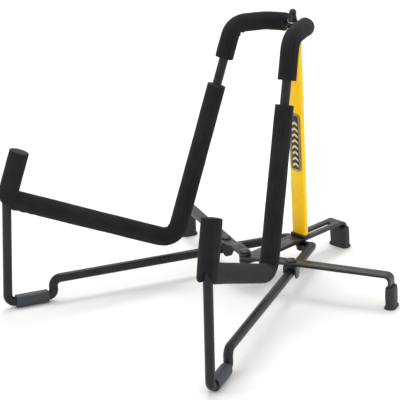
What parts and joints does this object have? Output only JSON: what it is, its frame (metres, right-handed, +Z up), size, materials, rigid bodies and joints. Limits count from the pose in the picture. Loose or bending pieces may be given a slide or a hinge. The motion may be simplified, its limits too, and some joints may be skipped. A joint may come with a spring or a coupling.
{
  "type": "folding guitar stand",
  "caption": "Folding two-arm floor stand for an acoustic guitar: foam-sleeved wire side frames swing about an upright strut over hinged flat-bar legs.",
  "frame": {"origin": "on the floor, under the middle of the bounding box of the opened stand", "axes": "+Z up, -Y to the front where the guitar goes in, +X to the stand's right when seen from the front side looking along +Y"},
  "size_m": [0.321, 0.3576, 0.286],
  "materials": {
    "black_powder_coat": "black powder coat, satin",
    "yellow_enamel": "smooth yellow enamel, semi-gloss",
    "black_foam": "closed-cell foam tube, matte",
    "black_rubber": "moulded rubber, matte",
    "label_film": "printed label film",
    "zinc_steel": "bright zinc plate",
    "black_oxide_steel": "black oxide, oiled",
    "black_nylon": "moulded black nylon"
  },
  "bodies": {
    "spine": {"strut": "yellow_enamel", "label_plate": "label_film", "hinge_stud": "black_oxide_steel", "hinge_washer_low": "zinc_steel", "hinge_washer_high": "zinc_steel", "hinge_collar": "black_nylon", "dome_nut": "black_oxide_steel", "slide_shoe": "black_nylon", "slide_stud": "black_oxide_steel", "slide_washer": "black_oxide_steel", "slide_nut": "black_oxide_steel"},
    "right_frame": {"right_base_rod": "black_powder_coat", "right_back_rod": "black_powder_coat", "right_upper_sleeve": "black_foam", "right_back_sleeve": "black_foam", "right_post_sleeve": "black_foam", "right_foot_sleeve": "black_rubber", "right_saddle": "black_powder_coat"},
    "left_frame": {"left_base_rod": "black_powder_coat", "left_back_rod": "black_powder_coat", "left_upper_sleeve": "black_foam", "left_back_sleeve": "black_foam", "left_post_sleeve": "black_foam", "left_foot_sleeve": "black_rubber", "left_saddle": "black_powder_coat"},
    "middle_leg": {"middle_leg": "black_powder_coat", "middle_foot": "black_rubber", "hub_rivet": "black_powder_coat", "hub_washer": "black_powder_coat"},
    "right_side_leg": {"right_side_leg": "black_powder_coat", "right_side_foot": "black_rubber", "right_leg_rivet": "black_powder_coat"},
    "left_side_leg": {"left_side_leg": "black_powder_coat", "left_side_foot": "black_rubber", "left_leg_rivet": "black_powder_coat"}
  },
  "joints": [
    {"name": "right_frame_swing", "type": "hinge", "parent": "spine", "child": "right_frame", "pos_m": [0, 0.11064, 0.15], "axis": [0, 0, -1], "range_deg": [0, 24]},
    {"name": "left_frame_swing", "type": "hinge", "parent": "spine", "child": "left_frame", "pos_m": [0, 0.11064, 0.15], "axis": [0, 0, 1], "range_deg": [0, 24.01]},
    {"name": "middle_leg_slide", "type": "slide", "parent": "spine", "child": "middle_leg", "axis": [0, -1, 0], "range_m": [0, 0.04395]},
    {"name": "right_side_leg_swing", "type": "hinge", "parent": "middle_leg", "child": "right_side_leg", "pos_m": [0, 0.02624, 0.03], "axis": [0, 0, 1], "range_deg": [0, 48.31]},
    {"name": "left_side_leg_swing", "type": "hinge", "parent": "middle_leg", "child": "left_side_leg", "pos_m": [0, 0.02624, 0.03], "axis": [0, 0, -1], "range_deg": [0, 48.31]}
  ],
  "couplings": [
    {"joint": "left_frame_swing", "follows": "right_frame_swing", "ratio": 1},
    {"joint": "middle_leg_slide", "follows": "right_frame_swing", "m_per_rad": 0.10487},
    {"joint": "right_side_leg_swing", "follows": "right_frame_swing", "ratio": 2.012},
    {"joint": "left_side_leg_swing", "follows": "right_frame_swing", "ratio": 2.012}
  ]
}
